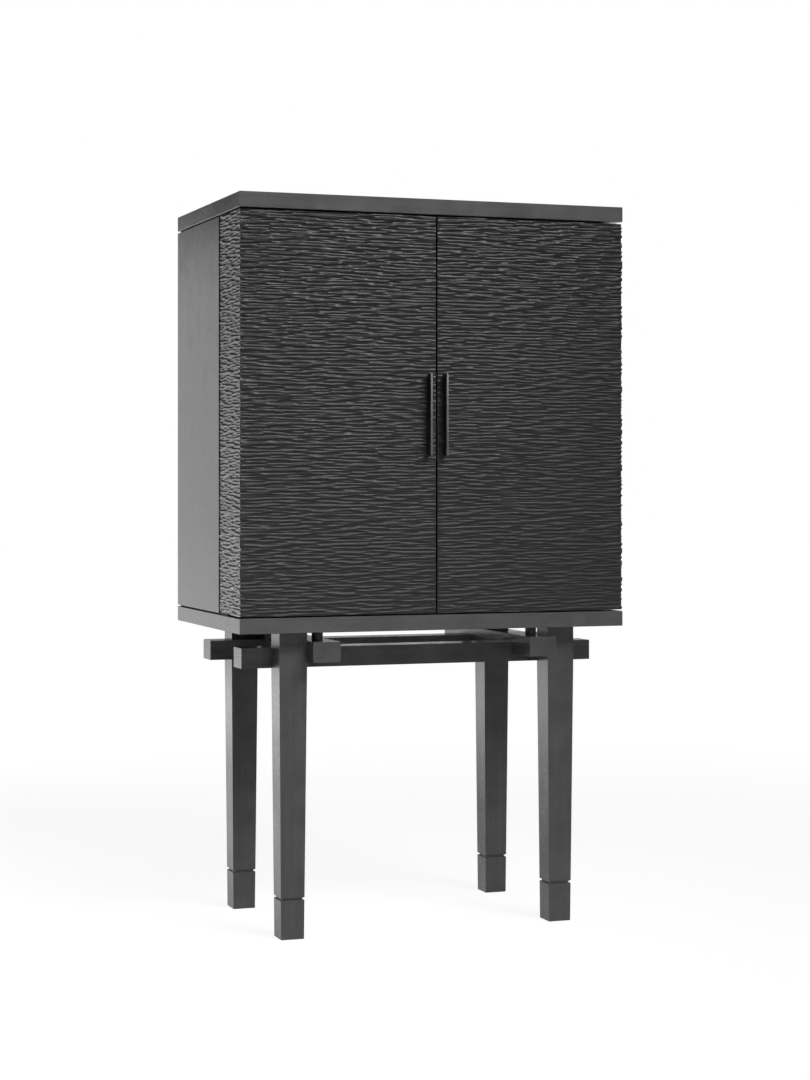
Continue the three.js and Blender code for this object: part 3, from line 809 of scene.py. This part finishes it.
across_parts = ("bottom_board", "top_board", "rack_shelf")
for hand in ("left", "right"):
    finish_in(inner_across, *[f"door_{hand}_{part}" for part in across_parts])
    finish_in(inner_deep, f"door_{hand}_upper_rack_end", f"door_{hand}_lower_rack_end")
    finish_in(inner_deep, "cleat_" + hand, "bottle_divider_" + hand)
finish_in(inner_across, "door_stop", "upper_shelf", "worktop_fixed", "folding_leaf")


# Handles: solid blades of blackened steel on edge, rounded a little along every edge, and
# fixed from inside the doors.

edge_radius = 0.0011
for hand in ("left", "right"):
    low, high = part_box(f"door_{hand}_handle")
    sized = Matrix.Diagonal((*(Vector(high) - Vector(low)), 1))
    placed = Matrix.Translation((Vector(high) + Vector(low)) / 2)
    blade = bmesh.new()
    bmesh.ops.create_cube(blade, size=1)
    bmesh.ops.transform(blade, matrix=placed @ sized, verts=blade.verts)
    bmesh.ops.bevel(
        blade,
        geom=blade.edges[:] + blade.verts[:],
        offset=edge_radius,
        segments=3,
        profile=0.5,
        affect="EDGES",
    )
    mesh = bpy.data.meshes.new(f"door_{hand}_blade")
    blade.to_mesh(mesh)
    blade.free()
    mesh.materials.append(blackened_steel)
    for face in mesh.polygons:
        face.use_smooth = True
    mesh.set_sharp_from_angle(angle=math.radians(35))
    piece = in_scene(f"door_{hand}_blade", mesh)
    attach(piece, "door_" + hand)
    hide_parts(f"door_{hand}_handle")


# Pivots: flat steel plates in the shadow gaps, one let into the door and one into the case,
# coloured dull black as painted shade, so that the gap stays dark.

painted_pivot_shade = matt_black("painted_pivot_shade", 0.010)
for hand in ("left", "right"):
    for end in ("top", "bottom"):
        for kind in ("pivot_plate", "pivot_case_plate"):
            finish_in(painted_pivot_shade, f"door_{hand}_{end}_{kind}")


# Strip hinge: two plates of drawn brass that share one row of knuckles along the fold. One is
# let into the edge of the worktop and one into the leaf.

aged_brass = brushed("aged_brass", (0.44, 0.33, 0.16), 0.30, "x")
knuckle_radius = 0.003
knuckle_spacing = 0.096
strip_hinge, given, result = shape_tree(
    "strip_hinge",
    [
        ("Length", 0.912),
        ("Width", 0.019),
        ("Thickness", 0.0013),
        ("Fold to plate", 0.0036),
        ("Plate level", 0.0),
        ("Knuckle radius", knuckle_radius),
        ("Knuckle length", 0.0476),
        ("Knuckle spacing", knuckle_spacing),
    ],
    [
        ("Knuckles", "NodeSocketInt"),
        ("Fold", "NodeSocketVector"),
        ("Metal", "NodeSocketMaterial"),
    ],
)


def moved(tree, geometry, place):
    inputs = {"Geometry": geometry, "Translation": place}
    return put(tree, "GeometryNodeTransform", inputs).outputs[0]


def box_at(tree, size, place):
    cube = put(tree, "GeometryNodeMeshCube", {"Size": together(tree, *size)})
    return moved(tree, cube.outputs["Mesh"], together(tree, *place))


level = given["Plate level"]
plate_y = reckon(
    strip_hinge,
    "ADD",
    given["Fold to plate"],
    reckon(strip_hinge, "MULTIPLY", given["Width"], 0.5),
)
plate_size = (given["Length"], given["Width"], given["Thickness"])
plate = box_at(strip_hinge, plate_size, (0.0, plate_y, level))
barrel = put(
    strip_hinge,
    "GeometryNodeMeshCylinder",
    {"Vertices": 32, "Radius": given["Knuckle radius"], "Depth": given["Knuckle length"]},
).outputs
barrel = put(
    strip_hinge,
    "GeometryNodeSetShadeSmooth",
    {"Geometry": barrel["Mesh"], "Selection": barrel["Side"], "Shade Smooth": True},
).outputs[0]
laid = {"Geometry": barrel, "Rotation": (0, math.pi / 2, 0)}
barrel = put(strip_hinge, "GeometryNodeTransform", laid).outputs[0]
tab_width = reckon(strip_hinge, "ADD", given["Fold to plate"], 0.0003)
tab_thickness = reckon(strip_hinge, "MULTIPLY", given["Thickness"], 0.96)
tab_size = (given["Knuckle length"], tab_width, tab_thickness)
tab_y = reckon(strip_hinge, "MULTIPLY", tab_width, 0.5)
tab = box_at(strip_hinge, tab_size, (0.0, tab_y, level))
knuckle = put(strip_hinge, "GeometryNodeJoinGeometry")
strip_hinge.links.new(barrel, knuckle.inputs[0])
strip_hinge.links.new(tab, knuckle.inputs[0])
spaces = reckon(strip_hinge, "SUBTRACT", given["Knuckles"], 1.0)
row_length = reckon(strip_hinge, "MULTIPLY", spaces, given["Knuckle spacing"])
first_x = reckon(strip_hinge, "MULTIPLY", row_length, -0.5)
row = put(
    strip_hinge,
    "GeometryNodeMeshLine",
    {
        "Count": given["Knuckles"],
        "Start Location": together(strip_hinge, first_x, 0.0, 0.0),
        "Offset": together(strip_hinge, given["Knuckle spacing"], 0.0, 0.0),
    },
    mode="OFFSET",
)
knuckles = put(
    strip_hinge,
    "GeometryNodeInstanceOnPoints",
    {"Points": row.outputs[0], "Instance": knuckle.outputs[0]},
)
whole = put(strip_hinge, "GeometryNodeJoinGeometry")
strip_hinge.links.new(plate, whole.inputs[0])
strip_hinge.links.new(knuckles.outputs[0], whole.inputs[0])
at_fold = moved(strip_hinge, whole.outputs[0], given["Fold"])
end_tree(strip_hinge, at_fold, given["Metal"], result)

low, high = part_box("fold_hinge_fixed")
fold_y = low.y + knuckle_radius
fold_z = (low.z + high.z) / 2
plate_level = 0.00095
halves = [("fixed", 10, -plate_level, "carcass"), ("leaf", 9, plate_level, "leaf")]
for half, knuckle_count, plate_from_fold, body in halves:
    name = half + "_strip"
    values = {
        "Knuckles": knuckle_count,
        "Plate level": plate_from_fold,
        "Fold": (0.0, fold_y, fold_z),
        "Metal": aged_brass,
    }
    strip = grown(name, bpy.data.meshes.new(name + "_start"), strip_hinge, values)
    strip.set_sharp_from_angle(angle=math.radians(40))
    piece = in_scene(name, strip)
    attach(piece, body)
    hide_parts("fold_hinge_" + half)


# Rack rails: brass rod across each rack in the doors, with a turned collar at either end that
# is pinned to the rack end and to the wall of the door.

for hand in ("left", "right"):
    for level in ("upper", "lower"):
        low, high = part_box(f"door_{hand}_{level}_rail")
        half = (high.x - low.x) / 2
        collar = [
            (0, -half),
            (0.0086, -half),
            (0.009, -half + 0.0004),
            (0.009, -half + 0.0026),
            (0.0084, -half + 0.0034),
            (0.0062, -half + 0.0038),
            (0.0052, -half + 0.0052),
            (0.005, -half + 0.0075),
        ]
        crosswise = ((low + high) / 2, (0, 1, 0), (0, 0, 1), (1, 0, 0))
        points, faces = lathed(mirrored_profile(collar), crosswise, 32)
        name = f"door_{hand}_{level}_rod"
        piece = new_piece(name, points, faces, aged_brass, "door_" + hand, 40)
        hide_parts(f"door_{hand}_{level}_rail")


# Shelf pins: four short brass pins in the side panels that carry the upper shelf. Their free
# ends are rounded.

shelf_low, shelf_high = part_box("upper_shelf")
pin = [(0, 0), (0.003, 0), (0.003, 0.0085), (0.0026, 0.0093), (0.0014, 0.0098), (0, 0.0099)]
pin_root_x = 0.4829
pin_setback = 0.025
pin_drop = 0.0032
pin_points, pin_faces = [], []
for side in (-1, 1):
    for pin_y in (shelf_low.y + pin_setback, shelf_high.y - pin_setback):
        root = (pin_root_x * side, pin_y, shelf_low.z - pin_drop)
        points, faces = lathed(pin, (root, (0, 1, 0), (0, 0, -side), (-side, 0, 0)), 20)
        pin_faces += [[c + len(pin_points) for c in f] for f in faces]
        pin_points += points
piece = new_piece("shelf_pins", pin_points, pin_faces, aged_brass, "carcass", 40)


# Catches: a round magnet for each door in the face of the door stop, and a thin steel disc
# opposite it in the rear edge of the door's top board.

magnet = [
    (0, -0.004),
    (0.0055, -0.004),
    (0.0055, 0.00022),
    (0.0053, 0.00028),
    (0.0046, 0.00028),
    (0.0044, 0.00008),
    (0, 0.00008),
]
strike = [(0, -0.002), (0.0062, -0.002), (0.0062, 0.0001), (0.006, 0.00015), (0, 0.00015)]
stop_low, stop_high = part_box("door_stop")
catch_z = stop_low.z + 0.011
for hand, side in [("left", -1), ("right", 1)]:
    catch_x = 0.040 * side
    in_stop = (catch_x, stop_low.y, catch_z)
    points, faces = lathed(magnet, (in_stop, (1, 0, 0), (0, 0, 1), (0, -1, 0)), 32)
    piece = new_piece(f"{hand}_magnet", points, faces, blackened_steel, "carcass", 35)
    in_door = (catch_x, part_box(f"door_{hand}_top_board")[1].y, catch_z)
    points, faces = lathed(strike, (in_door, (1, 0, 0), (0, 0, -1), (0, 1, 0)), 32)
    name = f"door_{hand}_strike"
    piece = new_piece(name, points, faces, blackened_steel, "door_" + hand, 35)


# Screws: countersunk, cross recessed, each turned home at its own angle. Black ones hold the
# back, the door stop, the stand and the handles; brass ones the strip hinge and the cleats.

screw_heads, given, result = shape_tree(
    "screw_heads",
    [("Head radius", 0.0036), ("Rise", 0.0003), ("Sunk", 0.0012)],
    [("Seed", "NodeSocketInt"), ("Metal", "NodeSocketMaterial")],
)
radius = given["Head radius"]
thick = reckon(screw_heads, "ADD", given["Rise"], given["Sunk"])
cone = put(
    screw_heads,
    "GeometryNodeMeshCone",
    {
        "Vertices": 24,
        "Radius Top": reckon(screw_heads, "MULTIPLY", radius, 0.86),
        "Radius Bottom": radius,
        "Depth": thick,
    },
)
sunk = reckon(screw_heads, "MULTIPLY", given["Sunk"], -1.0)
head = moved(screw_heads, cone.outputs["Mesh"], together(screw_heads, 0.0, 0.0, sunk))
long_arm = reckon(screw_heads, "MULTIPLY", radius, 1.15)
narrow_arm = reckon(screw_heads, "MULTIPLY", radius, 0.24)
recess = reckon(screw_heads, "MULTIPLY", thick, 1.3)
crossed = put(
    screw_heads,
    "GeometryNodeMeshBoolean",
    {"Mesh 1": head},
    operation="DIFFERENCE",
    solver="EXACT",
)
for across, up in [(long_arm, narrow_arm), (narrow_arm, long_arm)]:
    arm = box_at(screw_heads, (across, up, recess), (0.0, 0.0, given["Rise"]))
    screw_heads.links.new(arm, crossed.inputs["Mesh 2"])
facing = stored(screw_heads, "facing", "FLOAT_VECTOR")
seeded = {"Seed": given["Seed"]}
angle = put(screw_heads, "FunctionNodeRandomValue", seeded, data_type="FLOAT").outputs[1]
turn = together(screw_heads, 0.0, 0.0, reckon(screw_heads, "MULTIPLY", angle, math.pi / 2))
spun = put(screw_heads, "FunctionNodeEulerToRotation", {0: turn})
aimed = put(
    screw_heads,
    "FunctionNodeAlignRotationToVector",
    {"Rotation": spun.outputs[0], "Vector": facing},
    axis="Z",
)
set_in = put(
    screw_heads,
    "GeometryNodeInstanceOnPoints",
    {
        "Points": given["Geometry"],
        "Instance": crossed.outputs["Mesh"],
        "Rotation": aimed.outputs[0],
    },
)
end_tree(screw_heads, set_in.outputs[0], given["Metal"], result)


def screws(name, spots, radius, rise, metal, body, seed):
    # spots: pairs of a place and the way that the head faces
    dots = bpy.data.meshes.new(name + "_spots")
    dots.from_pydata([spot for spot, way in spots], [], [])
    ways = dots.attributes.new("facing", "FLOAT_VECTOR", "POINT")
    ways.data.foreach_set("vector", [c for spot, way in spots for c in way])
    values = {"Head radius": radius, "Rise": rise, "Seed": seed, "Metal": metal}
    piece = in_scene(name, grown(name, dots, screw_heads, values))
    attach(piece, body)


small_head, small_rise = 0.0036, 0.0003
backward, downward, upward = (0, 1, 0), (0, 0, -1), (0, 0, 1)
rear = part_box("back_panel")[1].y
worktop_low, worktop_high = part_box("worktop_fixed")
divider_low, divider_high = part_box("bottle_divider_right")
divider_x = (divider_low.x + divider_high.x) / 2
shelf_z = (shelf_low.z + shelf_high.z) / 2
worktop_z = (worktop_low.z + worktop_high.z) / 2
stop_y = (stop_low.y + stop_high.y) / 2
back_spots = []
for x in (-0.42, -0.21, 0, 0.21, 0.42):
    for z in (shelf_z, worktop_z):
        back_spots.append(((x, rear, z), backward))
for side in (-1, 1):
    for z in (0.86, 0.95, 1.04):
        back_spots.append(((divider_x * side, rear, z), backward))
for x in (-0.09, 0.09):
    back_spots.append(((x, stop_y, stop_low.z), downward))
screws(
    "case_screws",
    back_spots,
    small_head,
    small_rise,
    blackened_steel,
    "carcass",
    3,
)

bolt_spots = []
for c in corners:
    low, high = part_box("spacer_" + c)
    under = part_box("beam_" + c.split("_")[1])[0].z
    bolt_spots.append((((low.x + high.x) / 2, (low.y + high.y) / 2, under), downward))
screws("stand_bolts", bolt_spots, 0.0075, 0.0012, blackened_steel, "carcass", 8)

cleat_spots = []
for hand, side in [("left", -1), ("right", 1)]:
    low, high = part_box("cleat_" + hand)
    inner = min(abs(low.x), abs(high.x)) * side
    cleat_z = (low.z + high.z) / 2
    for share in (0.12, 0.5, 0.88):
        cleat_y = low.y + (high.y - low.y) * share
        cleat_spots.append(((inner, cleat_y, cleat_z), (-side, 0, 0)))
screws("cleat_screws", cleat_spots, small_head, small_rise, aged_brass, "carcass", 5)

strip_middle = fold_y + 0.0146
plate_face = 0.0003
strip_head, strip_rise = 0.0030, 0.00012
hinge_xs = [-0.432 + knuckle_spacing * k for k in range(10)]
fixed_spots = [((x, strip_middle, fold_z - plate_face), upward) for x in hinge_xs]
leaf_spots = [((x, strip_middle, fold_z + plate_face), downward) for x in hinge_xs]
for half, spots, body, seed in [
    ("fixed", fixed_spots, "carcass", 11),
    ("leaf", leaf_spots, "leaf", 12),
]:
    name = half + "_strip_screws"
    screws(name, spots, strip_head, strip_rise, aged_brass, body, seed)

from_end = 0.032
for hand, side in [("left", -1), ("right", 1)]:
    low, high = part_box(f"door_{hand}_handle")
    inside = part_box(f"door_{hand}_front")[1].y
    blade_x = (low.x + high.x) / 2
    levels = (low.z + from_end, high.z - from_end)
    handle_spots = [((blade_x, inside, z), backward) for z in levels]
    screws(
        f"door_{hand}_handle_screws",
        handle_spots,
        0.0050,
        0.0011,
        blackened_steel,
        "door_" + hand,
        20 + side,
    )
